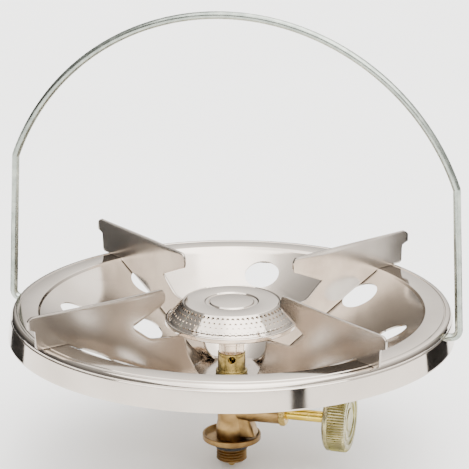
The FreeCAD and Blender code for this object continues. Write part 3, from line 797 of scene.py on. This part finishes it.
@dataclass
class Burner:
    """The burner: a cap with four rows of ports and a ring pressed in, crimped to a bowl."""

    gauge: float = 0.8
    top_z: float = 80.0
    flat_radius: float = 24.2
    rim_radius: float = 33.2
    rim_z: float = 70.4
    columns: int = 64
    rows: tuple[tuple[float, float, float], ...] = (
        (0.8, 3.6, 0.85), (3.6, 6.2, 0.62), (6.2, 8.8, 0.62), (8.8, 11.4, 0.62))
    tube_radius: float = 6.75

    def slope(self, run: np.ndarray) -> tuple[np.ndarray, np.ndarray]:
        """Radius and height on the cap's cone at a run down it."""
        drop = self.top_z - self.rim_z
        widen = self.rim_radius - self.flat_radius
        length = math.hypot(drop, widen)
        return self.flat_radius + run * widen / length, self.top_z - run * drop / length

    def ports(self, shell: Shell) -> None:
        """Add the rows of pierced cells; every other row is half a pitch round."""
        pitch = TURN / self.columns
        for number, (low, high, radius) in enumerate(self.rows):
            middle = (low + high) / 2
            reach = float(self.slope(np.array(middle))[0])
            sides = frame_of((-pitch * reach / 2, pitch * reach / 2), (-high, -low), 4, 4)
            cell = pierced(sides, np.array([0.0, -middle]), radius, (0, 0.25, 1))
            around, run = cell[..., 0] / reach, -cell[..., 1]
            across, height = self.slope(run)
            starts = (np.arange(self.columns) + 0.5 * (number % 2)) * pitch
            angle = around[None] + starts[:, None, None]
            grids = np.stack([across * np.cos(angle), across * np.sin(angle),
                              np.broadcast_to(height, angle.shape)], axis=-1)
            for grid in grids:
                shell.add(grid, wrap_columns=True)

    def cap(self) -> None:
        """The cap's sheet: top with its ring, the pierced cone and the rolled edge."""
        shell = Shell("burner_cap_pierced")
        columns = self.columns * 4
        start = -360.0 / self.columns / 2
        top = self.top_z
        first = self.rows[0][0]
        last = self.rows[-1][1]
        crown = rounded([
            (0.0, top, 0), (11.2, top, 0.4), (11.7, top - 0.7, 0.3), (13.5, top - 0.7, 0.3),
            (14.0, top, 0.4), (self.flat_radius, top, 0.9),
            (*(float(v) for v in self.slope(np.array(first))), 0)], steps=4)
        skirt = rounded([
            (*(float(v) for v in self.slope(np.array(last))), 0),
            (32.6, self.rim_z + 0.5, 0.6), (33.5, self.rim_z, 0)], steps=3)
        shell.add(turned(crown, columns, start=start), wrap_columns=True)
        self.ports(shell)
        shell.add(turned(skirt, columns, start=start), wrap_columns=True)
        piece = shell.build(closed=False, weld_mm=0.02)
        thicken(piece, self.gauge)
        dress(settle(piece), BRIGHT_PLATE, Body.STOVE, "bright_steel", "burner_cap")

    def bowl(self) -> None:
        """The bowl, turned in one: sleeve, belly and the lip folded over the cap."""
        low = self.rim_z - 10.0
        tube = self.tube_radius
        line = rounded([
            (tube, low - 2.9, 0.1), (tube + 0.8, low - 2.9, 0.2), (tube + 0.8, low, 1.0),
            (29.0, low + 6.9, 5.0), (34.4, 68.7, 0.8), (34.4, 71.3, 0.7), (33.0, 71.3, 0.3),
            (33.1, 70.5, 0.05), (33.6, 70.0, 0.1), (33.4, 69.5, 0.2), (28.4, low + 7.6, 4.0),
            (tube, low + 0.8, 0.1)], closed=True, steps=5)
        piece = lathe("burner_bowl_crimped", line, 192, closed=True)
        dress(settle(piece), BRIGHT_PLATE, Body.STOVE, "bright_steel", "burner_bowl")

    def build(self) -> None:
        """Make the cap and the bowl."""
        self.cap()
        self.bowl()


@dataclass
class MixingColumn:
    """The bright stem and the brass air collar under the burner."""

    hub_top: float = 40.7
    collar_top: float = 52.5
    collar_radius: float = 7.15
    base_radius: float = 8.25
    throat: float = 4.8
    port_radius: float = 2.0
    port_z: float = 50.0
    port_azimuth: float = -74.0
    tube_radius: float = 6.75
    tube_top: float = 61.2

    def stem(self) -> None:
        """The tube between the collar and the bowl."""
        line = rounded([
            (6.0, self.collar_top, 0.05), (self.tube_radius, self.collar_top, 0.25),
            (self.tube_radius, self.tube_top, 0.1), (6.0, self.tube_top, 0.05)],
            closed=True, steps=3)
        piece = lathe("mixing_tube_bright", line, 96, closed=True)
        dress(settle(piece), BRIGHT_PLATE, Body.STOVE, "bright_steel", "mixing_tube")

    def collar(self) -> None:
        """The collar's wall with two air ports, its base ring and its nipple."""
        shell = Shell("air_collar")
        low = self.hub_top + 3.2
        high = self.collar_top - 0.4
        reach = self.collar_radius
        sides = frame_of((-90.0, 90.0), (-high, -low), 24, 10)
        plan = np.stack([np.radians(sides[:, 0]) * reach, sides[:, 1]], axis=1)
        grid = pierced(plan, np.array([0.0, -self.port_z]), self.port_radius,
                       (0, 0.1, 0.3, 0.6, 1))
        for turn in (0.0, 180.0):
            angle = grid[..., 0] / reach + math.radians(self.port_azimuth + turn)
            shell.add(np.stack([reach * np.cos(angle), reach * np.sin(angle),
                                -grid[..., 1]], axis=-1), wrap_columns=True)
        start = self.port_azimuth - 90.0
        base = rounded([
            (reach, low, 0), (reach, self.hub_top + 2.0, 0.5),
            (self.base_radius, self.hub_top + 2.0, 0.35), (self.base_radius, self.hub_top, 0.2),
            (self.throat + 0.2, self.hub_top, 0)], steps=4)[::-1]
        shell.add(turned(base, 48, start=start), wrap_columns=True, flip=True)
        top = rounded([
            (reach, high, 0), (reach, self.collar_top, 0.4), (6.0, self.collar_top, 0.1),
            (6.0, self.collar_top + 4.5, 0.2), (self.throat + 0.2, self.collar_top + 4.5, 0)],
            steps=3)
        shell.add(turned(top, 48, start=start), wrap_columns=True, flip=True)
        inner = np.array([[self.throat + 0.2, self.collar_top + 4.5], [self.throat, high],
                          [self.throat, low], [self.throat + 0.2, self.hub_top]])
        for turn in (0.0, 180.0):
            angle = grid[0, :, 0] / reach + math.radians(self.port_azimuth + turn)
            height = -grid[0, :, 1]
            walls = np.stack([
                np.stack([radius * np.cos(angle), radius * np.sin(angle), height], axis=-1)
                for radius in (reach, self.throat)])
            shell.add(walls, wrap_columns=True)
            angle = grid[..., 0] / reach + math.radians(self.port_azimuth + turn)
            shell.add(np.stack([self.throat * np.cos(angle), self.throat * np.sin(angle),
                                -grid[..., 1]], axis=-1), wrap_columns=True, flip=True)
        shell.add(turned(inner[:2], 48, start=start), wrap_columns=True, flip=True)
        shell.add(turned(inner[2:], 48, start=start), wrap_columns=True, flip=True)
        piece = shell.build(weld_mm=0.02)
        dress(settle(piece), DULL_BRASS, Body.STOVE, "turned_brass", "jet_holder")

    def build(self) -> None:
        """Make the stem and the collar."""
        self.stem()
        self.collar()


@dataclass
class ValveBody:
    """The forged valve body and the washer that it clamps the dish with."""

    barrel_radius: float = 8.0
    low_z: float = 5.2
    top_z: float = 37.7
    spigot_radius: float = 5.0
    spigot_top: float = 47.0
    branch_radius: float = 5.9
    branch_end: float = 26.5
    axis_z: float = 21.0
    web_low: float = 7.2
    web_power: float = 0.4
    columns: int = 48

    def web(self) -> np.ndarray:
        """The forged web under the branch: a rounded box whose far side leans inwards.

        Returns:
            Points of shape (rows, columns, 3): at each height a superellipse, where
            x = middle + half length * |cos a|^p and y = half width * |sin a|^p.
        """
        height = np.array([self.web_low, self.web_low + 0.6, 11.0, 15.0, self.axis_z])
        reach = np.array([12.9, 13.5, 12.6, 11.0, 9.6])
        width = np.array([4.9, 5.5, 5.5, 5.4, 5.2])
        angle = np.linspace(0, TURN, self.columns, endpoint=False)
        cosine, sine = np.cos(angle), np.sin(angle)
        across = np.sign(cosine) * np.abs(cosine) ** self.web_power
        along = np.sign(sine) * np.abs(sine) ** self.web_power
        x = reach[:, None] / 2 * (1 + across[None])
        y = width[:, None] * along[None]
        return np.stack([x, y, np.repeat(height[:, None], self.columns, axis=1)], axis=-1)

    def build(self) -> None:
        """Join the turned barrel, the turned branch and the web into one forging."""
        barrel = lathe("valve_body_forging", rounded([
            (0.0, self.low_z, 0), (self.barrel_radius, self.low_z, 0.4),
            (self.barrel_radius, self.low_z + 6, 3.0), (7.4, 15.0, 3.0), (7.4, 27.0, 3.0),
            (self.barrel_radius, 30.5, 3.0), (self.barrel_radius, self.top_z, 0.4),
            (self.spigot_radius, self.top_z, 0.2), (self.spigot_radius, self.spigot_top, 0.3),
            (0.0, self.spigot_top, 0)]), 96)
        branch = lathe("branch", rounded([
            (0.0, 0.0, 0), (6.6, 0.0, 0.3), (6.6, 9.5, 2.0),
            (self.branch_radius, 13.0, 2.0), (self.branch_radius, self.branch_end, 0.5),
            (0.0, self.branch_end, 0)]), 96, spin=Spin.SPINDLE, centre=(0, 0, self.axis_z))
        grid = self.web()
        middle = grid.mean(axis=1, keepdims=True).repeat(grid.shape[1], axis=1)
        web = Shell("web").add(np.concatenate([middle[:1], grid, middle[-1:]]),
                               wrap_columns=True).build()
        for other in (branch, web):
            join = barrel.modifiers.new("join", "BOOLEAN")
            join.operation = "UNION"
            join.object = other
        settle(barrel, 30.0)
        for other in (branch, web):
            bpy.data.objects.remove(other)
        dress(barrel, FORGED_BRASS, Body.STOVE, "forged_brass", "valve_body")
        washer = lathe("dish_washer_plated", rounded([
            (5.1, self.top_z, 0.05), (9.5, self.top_z, 0.25), (9.5, self.top_z + 1, 0.1),
            (5.1, self.top_z + 1, 0.05)], closed=True, steps=3), 72, closed=True)
        dress(settle(washer), BRIGHT_PLATE, Body.STOVE, "bright_steel", "dish_washer")


@dataclass
class Coupling:
    """The cylinder coupling with its thread, the sealing ring and the opener pin."""

    thread_radius: float = 8.0
    thread_length: float = 6.4
    thread_pitch: float = 1.5
    thread_depth: float = 0.85
    thread_rows: int = 52
    thread_runout: float = 0.8
    end_z: float = -7.3
    seat_z: float = 1.6
    register_radius: float = 8.25
    edge_radius: float = 15.3
    edge_low: float = 4.4
    edge_top: float = 7.2
    opener_radius: float = 2.85

    def thread(self, radius: np.ndarray, height: np.ndarray, angle: np.ndarray) -> np.ndarray:
        """Cut the helix: the groove's depth follows |2 frac(height / pitch - turn) - 1|."""
        phase = np.mod(height / self.thread_pitch - angle / TURN, 1.0)
        groove = self.thread_depth * np.clip(1.25 - 2.5 * np.abs(phase - 0.5), 0, 1)
        inside = (height < -0.05) & (height > -self.thread_length) & (radius > 7.0)
        runout = np.clip(-height / self.thread_runout, 0, 1)
        return radius - np.where(inside, groove * runout, 0)

    def build(self) -> None:
        """Make the coupling, the ring and the pin."""
        rows = np.linspace(-self.thread_length, 0.0, self.thread_rows)
        thread = np.stack([np.full(self.thread_rows, self.thread_radius), rows], axis=1)
        below = rounded([(self.opener_radius, self.end_z, 0), (7.1, self.end_z, 0.2),
                         (self.thread_radius, -self.thread_length - 0.05, 0)], steps=3)
        above = rounded([
            (self.register_radius, 0.0, 0), (self.register_radius, self.seat_z, 0),
            (9.0, self.seat_z, 0.15),
            (self.edge_radius, self.edge_low, 0.5), (self.edge_radius, self.edge_top, 0.3),
            (14.3, self.edge_top, 0.3), (13.0, 5.2, 0.5), (6.5, 5.2, 0.1), (6.5, 12.0, 0.2),
            (self.opener_radius, 12.0, 0)], steps=4)
        line = np.vstack([below, thread, above])
        body = lathe("cylinder_coupling_threaded", line, 96, closed=True, ripple=self.thread)
        dress(settle(body, 32.0), FORGED_BRASS, Body.STOVE, "forged_brass",
              "cylinder_coupling")
        ring = lathe("cylinder_seal_ring", rounded([
            (self.register_radius, 0.0, 0.1), (8.9, 0.0, 0.25), (8.9, self.seat_z, 0.25),
            (self.register_radius, self.seat_z, 0.1)], closed=True, steps=4), 96, closed=True)
        dress(settle(ring), NITRILE, Body.STOVE, "seal_rubber", "cylinder_seal")
        tip = self.end_z - 3.4
        reach = self.opener_radius
        pin = lathe("opener_pin_turned", rounded([
            (0.8, tip, 0.1), (1.3, tip, 0.15), (reach, tip + 2.0, 0.4), (reach, 4.0, 0.05),
            (0.8, 4.0, 0.05)], closed=True, steps=4), 64, closed=True)
        dress(settle(pin), TURNED_BRASS, Body.STOVE, "turned_brass", "opener_pin")


@dataclass
class SpindleGroup:
    """The needle spindle, the gland nut that holds it and the knurled knob."""

    axis_z: float = 21.0
    shaft: float = 2.98
    shaft_end: float = 60.0
    nut_start: float = 26.5
    nut_length: float = 3.3
    nut_corner: float = 6.7
    knob_start: float = 51.8
    knob_length: float = 11.8
    knob_radius: float = 17.0
    ridges: int = 72
    ridge_depth: float = 0.85
    ridge_power: float = 1.6

    def hexagon(self, radius: np.ndarray, place: np.ndarray, angle: np.ndarray) -> np.ndarray:
        """Trim a turned blank to six flats: radius = min(blank, apothem / cos(a mod 60))."""
        flat = self.nut_corner * math.cos(math.pi / 6)
        turn = np.mod(angle, math.pi / 3) - math.pi / 6
        return np.where(place > self.nut_start - 0.01,
                        np.minimum(radius, flat / np.cos(turn)), radius)

    def knurl(self, radius: np.ndarray, place: np.ndarray, angle: np.ndarray) -> np.ndarray:
        """Straight ridges: the radius falls by depth * (0.5 - 0.5 cos(ridges * a))^p."""
        start = self.knob_start + 2.6
        end = self.knob_start + self.knob_length
        inside = (place > start) & (place <= end + 0.01) & (radius > self.knob_radius - 1.3)
        wave = (0.5 - 0.5 * np.cos(self.ridges * angle)) ** self.ridge_power
        fade = np.clip((place - start) / 0.5, 0, 1)
        return radius - np.where(inside, self.ridge_depth * wave * fade, 0)

    def spindle(self) -> None:
        """The spindle, turned from the needle's tip to its end in the knob."""
        place = (0.0, 0.0, self.axis_z)
        line = rounded([
            (0.0, 3.0, 0), (0.5, 3.0, 0), (2.0, 7.0, 0.3), (2.0, 12.5, 0), (3.92, 12.5, 0.3),
            (3.92, 17.0, 0.3), (self.shaft, 17.0, 0), (self.shaft, 20.1, 0), (2.25, 20.1, 0),
            (2.25, 22.5, 0), (self.shaft, 22.5, 0), (self.shaft, self.shaft_end, 0.3),
            (0.0, self.shaft_end, 0)])
        piece = lathe("valve_spindle_turned", line, 64, spin=Spin.SPINDLE, centre=place)
        dress(settle(piece), SPINDLE_BRASS, Body.SPINDLE, "turned_brass", "valve_spindle")

    def nut(self) -> None:
        """The gland nut: a nipple in the branch and a hexagon with chamfered corners."""
        end = self.nut_start + self.nut_length
        bore = self.shaft + 0.08
        line = rounded([
            (bore, 24.9, 0), (4.5, 24.9, 0), (4.5, self.nut_start, 0),
            (6.2, self.nut_start, 0), (6.75, self.nut_start + 0.5, 0), (6.75, end - 0.6, 0),
            (5.9, end, 0), (3.6, end, 0), (bore, end - 0.5, 0)], closed=True)
        dense = np.vstack([spaced(np.stack([line[k], line[(k + 1) % len(line)]]), 4)[:-1]
                           for k in range(len(line))])
        piece = lathe("gland_nut_hex", dense, 96, closed=True, spin=Spin.SPINDLE,
                      centre=(0, 0, self.axis_z), ripple=self.hexagon)
        dress(settle(piece, 25.0), TURNED_BRASS, Body.STOVE, "turned_brass", "gland_nut")

    def knob(self) -> None:
        """The knob: bevelled back, knurled side, ringed face and the hub in its middle."""
        start, reach = self.knob_start, self.knob_radius
        end = start + self.knob_length
        line = rounded([
            (self.shaft, start, 0), (8.2, start, 0.3), (8.6, start + 0.9, 0.3),
            (13.2, start + 0.9, 0.4), (13.6, start, 0.3), (15.6, start, 0.5),
            (16.9, start + 1.2, 0.6), (16.9, start + 2.2, 0.3), (16.5, start + 2.6, 0.2),
            (reach, start + 3.2, 0.2), (reach, end - 0.9, 0.2), (reach - 1.0, end, 0.3),
            (13.4, end, 0.3), (12.9, end - 0.7, 0.3), (11.6, end - 0.7, 0.3),
            (11.2, end - 0.1, 0.3), (9.2, end - 0.1, 0.3), (8.8, end - 0.7, 0.3),
            (6.4, end - 0.7, 0.3), (6.0, end - 0.1, 0.3), (0.0, end - 0.1, 0)], steps=3)
        side = (line[:, 0] > reach - 0.02) & (line[:, 1] > start + 3.1)
        first = int(np.argmax(side))
        rows = spaced(line[first:first + int(side.sum())], 8)
        line = np.vstack([line[:first], rows, line[first + int(side.sum()):]])
        piece = lathe("control_knob_knurled", line, self.ridges * 6, spin=Spin.SPINDLE,
                      centre=(0, 0, self.axis_z), ripple=self.knurl)
        dress(settle(piece, 30.0), YELLOW_ZINC, Body.SPINDLE, "passivated_zinc",
              "control_knob")

    def build(self) -> None:
        """Make the spindle, the nut and the knob."""
        self.spindle()
        self.nut()
        self.knob()


@dataclass
class Bail:
    """The wire bail: turned-in ends, straight legs, a kink each side and a round bow."""

    wire: float = 2.0
    pivot_z: float = 71.2
    leg: float = 119.0
    kink: float = 116.0
    kink_rise: float = 77.8
    rise: float = 159.0
    bend: float = 4.0
    end: float = 108.0
    around: int = 24
    bow_steps: int = 141
    tip_round: float = 0.3

    def path(self) -> np.ndarray:
        """The wire's centre line from one free end to the other, as x and height."""
        bow = (self.kink ** 2 + (self.rise - self.kink_rise) ** 2) \
            / (2 * (self.rise - self.kink_rise))
        middle = self.rise - bow
        start = math.atan2(self.kink_rise - middle, self.kink)
        angle = np.linspace(start, math.pi - start, self.bow_steps)[1:-1]
        arc = np.stack([bow * np.cos(angle), middle + bow * np.sin(angle)], axis=1)
        side = rounded([
            (self.end, 0.0, 0), (self.leg, 0.0, self.bend), (self.kink, self.kink_rise, 2.5),
            (float(arc[0, 0]), float(arc[0, 1]), 0)], steps=10)
        legs = side[side[:, 1] > 6.0]
        split = len(side) - len(legs)
        climb = spaced(np.stack([side[split - 1], legs[0]]), 30)[1:-1]
        side = np.vstack([side[:split], climb, legs])
        return np.vstack([side, arc[1:-1], side[::-1] * np.array([-1.0, 1.0])])

    def build(self) -> None:
        """Carry a circle along the path: point(s, a) = path + r (cos a normal + sin a y)."""
        line = self.path()
        tangent = np.gradient(line, axis=0)
        tangent /= np.linalg.norm(tangent, axis=1, keepdims=True)
        normal = np.stack([tangent[:, 1], -tangent[:, 0]], axis=1)
        radius = np.full(len(line), self.wire)
        tips = [line[:1], line[:1], line, line[-1:], line[-1:]]
        line = np.vstack(tips)
        normal = np.vstack([normal[:1], normal[:1], normal, normal[-1:], normal[-1:]])
        tip = self.wire - self.tip_round
        radius = np.concatenate([[0.0, tip], radius, [tip, 0.0]])
        line[2, 0] -= self.tip_round
        line[-3, 0] += self.tip_round
        angle = np.linspace(0, TURN, self.around, endpoint=False)
        reach = radius[:, None] * np.cos(angle)[None]
        x = line[:, :1] + reach * normal[:, :1]
        z = line[:, 1:] + reach * normal[:, 1:] + self.pivot_z
        y = radius[:, None] * np.sin(angle)[None]
        piece = Shell("bail_wire").add(np.stack([x, y, z], axis=-1),
                                       wrap_columns=True).build()
        dress(settle(piece, 40.0), WIRE_ZINC, Body.BAIL, "zinc_wire", "bail_handle")


@dataclass
class HiddenPieces:
    """The small inner pieces whose CAD shapes stay and get their real finishes."""

    finishes: tuple[tuple[str, Metal | Matt], ...] = (
        ("gas_jet", TURNED_BRASS), ("gas_filter", FELT), ("spindle_o_ring", NITRILE),
        ("gland_washer", TURNED_BRASS), ("knob_grub_screw", WIRE_ZINC))

    def build(self) -> None:
        """Assign each node's material slot."""
        for name, finish in self.finishes:
            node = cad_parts[name]
            if not node.material_slots:
                node.data.materials.append(finish.material())
            for slot in node.material_slots:
                slot.material = finish.material()
            LOG.info("%s: %s", name, finish.name)


@dataclass
class Studio:
    """Pale floor, soft light from above and a pale surround with a few dark cards.

    Attributes:
        floor_z: Height of the floor, in mm.
        rim: Middle of the dish's rim, that the camera's place is measured from, in mm.
        aim_up: How far above the rim's middle the camera looks, in mm.
        aim_right: How far to the right of it, in mm.
        distance: From the rim's middle to the camera, in metres.
        azimuth: Of the camera from the front, in degrees.
        elevation: Of the camera, in degrees.
        lens: Focal length, in mm.
        surround: Brightness of the surround at the horizon.
        overhead: Brightness of the surround overhead.
        left_share: How much of that the surround keeps on the camera's left.
        right_share: How much of that the surround keeps on the camera's right.
        sun: Strength of the soft sun.
        sun_angle: Width of the soft sun, in degrees.
        sun_way: The way that the sun's light goes.
        left_span: Where the surround's left side is at its share, and where it is full.
        right_span: Where the right side is full, and where it is at its share.
        floor_half: Half the floor's side, in mm.
        card_steps: Points along a card's arc.
        card_height: Height of the dark cards, in mm.
        cards: Azimuth and half width in degrees, and distance in mm, of each dark card.
    """

    floor_z: float = -11.2
    rim: tuple[float, float, float] = (0.0, 0.0, 77.0)
    aim_up: float = 36.98
    aim_right: float = 1.47
    distance: float = 1.399
    azimuth: float = 15.6
    elevation: float = 19.29
    lens: float = 208.5
    surround: float = 0.55
    overhead: float = 4.4
    left_share: float = 0.16
    right_share: float = 0.5
    sun: float = 7.0
    sun_angle: float = 90.0
    sun_way: tuple[float, float, float] = (-0.11, 0.38, -0.92)
    left_span: tuple[float, float] = (-0.30, 0.02)
    right_span: tuple[float, float] = (0.15, 0.60)
    floor_half: float = 7000.0
    card_steps: int = 17
    card_height: float = 86.0
    cards: tuple[tuple[float, float, float], ...] = (
        (-47.6, 3.3, 313.0), (33.0, 13.0, 273.0), (167.0, 12.0, 264.0))

    def camera(self) -> None:
        """Stand the camera off the rim's middle and turn it to the middle of the picture."""
        turn, lift = math.radians(self.azimuth), math.radians(self.elevation)
        away = Vector((math.sin(turn) * math.cos(lift), -math.cos(turn) * math.cos(lift),
                       math.sin(lift)))
        right = Vector((math.cos(turn), math.sin(turn), 0.0))
        up = away.cross(right)
        rim = Vector(self.rim) * MM
        spot = rim + away * self.distance
        aim = rim + (up * self.aim_up + right * self.aim_right) * MM
        data = bpy.data.cameras.new("studio_camera")
        data.lens = self.lens
        data.sensor_width = 36.0
        data.clip_start, data.clip_end = 0.05, 60.0
        camera = bpy.data.objects.new("studio_camera", data)
        camera.location = spot
        camera.rotation_euler = (aim - spot).to_track_quat("-Z", "Y").to_euler()
        bpy.context.scene.collection.objects.link(camera)
        bpy.context.scene.camera = camera

    def floor(self) -> None:
        """A wide flat floor just under the lowest point."""
        side = np.linspace(-self.floor_half, self.floor_half, 3)
        x, y = np.meshgrid(side, side, indexing="ij")
        grid = np.stack([x, y, np.full_like(x, self.floor_z)], axis=-1)
        floor = Shell("studio_floor").add(grid).build(closed=False)
        paper = Matt("studio_paper", ((0.3, "#F4F4F3"), (0.7, "#FAFAF9")), 400.0, 0.0, 0.9, 1.4)
        floor.data.materials.append(paper.material())

    def flags(self) -> None:
        """Dark cards round the object that only mirror-like surfaces see, on an arc each."""
        shell = Shell("studio_flags")
        levels = np.array([[self.floor_z + 0.5], [self.floor_z + self.card_height]])
        for azimuth, half, distance in self.cards:
            angle = np.radians(np.linspace(azimuth - half, azimuth + half,
                                           self.card_steps))
            x = distance * np.cos(angle)[None].repeat(2, axis=0)
            y = distance * np.sin(angle)[None].repeat(2, axis=0)
            shell.add(np.stack([x, y, levels.repeat(self.card_steps, axis=1)], axis=-1))
        flags = shell.build(closed=False)
        cloth = Matt("studio_black_cloth", ((0.3, "#0E0D0D"), (0.7, "#161514")), 3.0, 0.0,
                     0.95, 1.4)
        flags.data.materials.append(cloth.material())
        flags.visible_camera = False
        flags.visible_diffuse = False
        flags.visible_shadow = False

    def world(self) -> None:
        """A surround that brightens from the horizon to a soft strip overhead."""
        world = bpy.data.worlds.new("studio_surround")
        world.use_nodes = True
        bpy.context.scene.world = world
        tree = world.node_tree
        back = tree.nodes["Background"]
        ray = add_node(tree, "ShaderNodeTexCoord").outputs["Generated"]
        parts = add_node(tree, "ShaderNodeSeparateXYZ", links={0: ray})
        light = add_node(tree, "ShaderNodeMapRange", {
            "From Min": 0.0, "From Max": 0.85, "To Min": self.surround,
            "To Max": self.overhead}, {"Value": parts.outputs[2]},
            interpolation_type="SMOOTHSTEP")
        turn = math.radians(self.azimuth)
        across = add_node(tree, "ShaderNodeVectorMath",
                          {1: (math.cos(turn), math.sin(turn), 0.0)}, {0: ray},
                          operation="DOT_PRODUCT").outputs["Value"]
        left = add_node(tree, "ShaderNodeMapRange", {
            "From Min": self.left_span[0], "From Max": self.left_span[1],
            "To Min": self.left_share, "To Max": 1.0},
            {"Value": across}, interpolation_type="SMOOTHSTEP")
        right = add_node(tree, "ShaderNodeMapRange", {
            "From Min": self.right_span[0], "From Max": self.right_span[1],
            "To Min": 1.0, "To Max": self.right_share},
            {"Value": across}, interpolation_type="SMOOTHSTEP")
        sides = add_node(tree, "ShaderNodeMath", links={0: left.outputs[0],
                         1: right.outputs[0]}, operation="MULTIPLY")
        strength = add_node(tree, "ShaderNodeMath", links={0: light.outputs[0],
                            1: sides.outputs[0]}, operation="MULTIPLY")
        tree.links.new(strength.outputs[0], back.inputs["Strength"])
        back.inputs["Color"].default_value = srgb("#FFFDFA")

    def lamp(self) -> None:
        """One broad soft sun from high on the camera's side."""
        data = bpy.data.lights.new("soft_sun", "SUN")
        data.energy = self.sun
        data.angle = math.radians(self.sun_angle)
        sun = bpy.data.objects.new("soft_sun", data)
        sun.rotation_euler = Vector(self.sun_way).to_track_quat("-Z", "Y").to_euler()
        bpy.context.scene.collection.objects.link(sun)

    def build(self) -> None:
        """Set up the camera, the floor, the flags, the surround and the lamp."""
        self.camera()
        self.floor()
        self.flags()
        self.world()
        self.lamp()


def main() -> None:
    """Build every sub-assembly in order, then the studio."""
    logging.basicConfig(level=logging.INFO, format="%(message)s")
    for assembly in (Studio(), Dish(), PanSupport(), Burner(), MixingColumn(), ValveBody(),
                     Coupling(), SpindleGroup(), Bail(), HiddenPieces()):
        LOG.info("building %s", type(assembly).__name__)
        assembly.build()


if __name__ == "__main__":
    main()
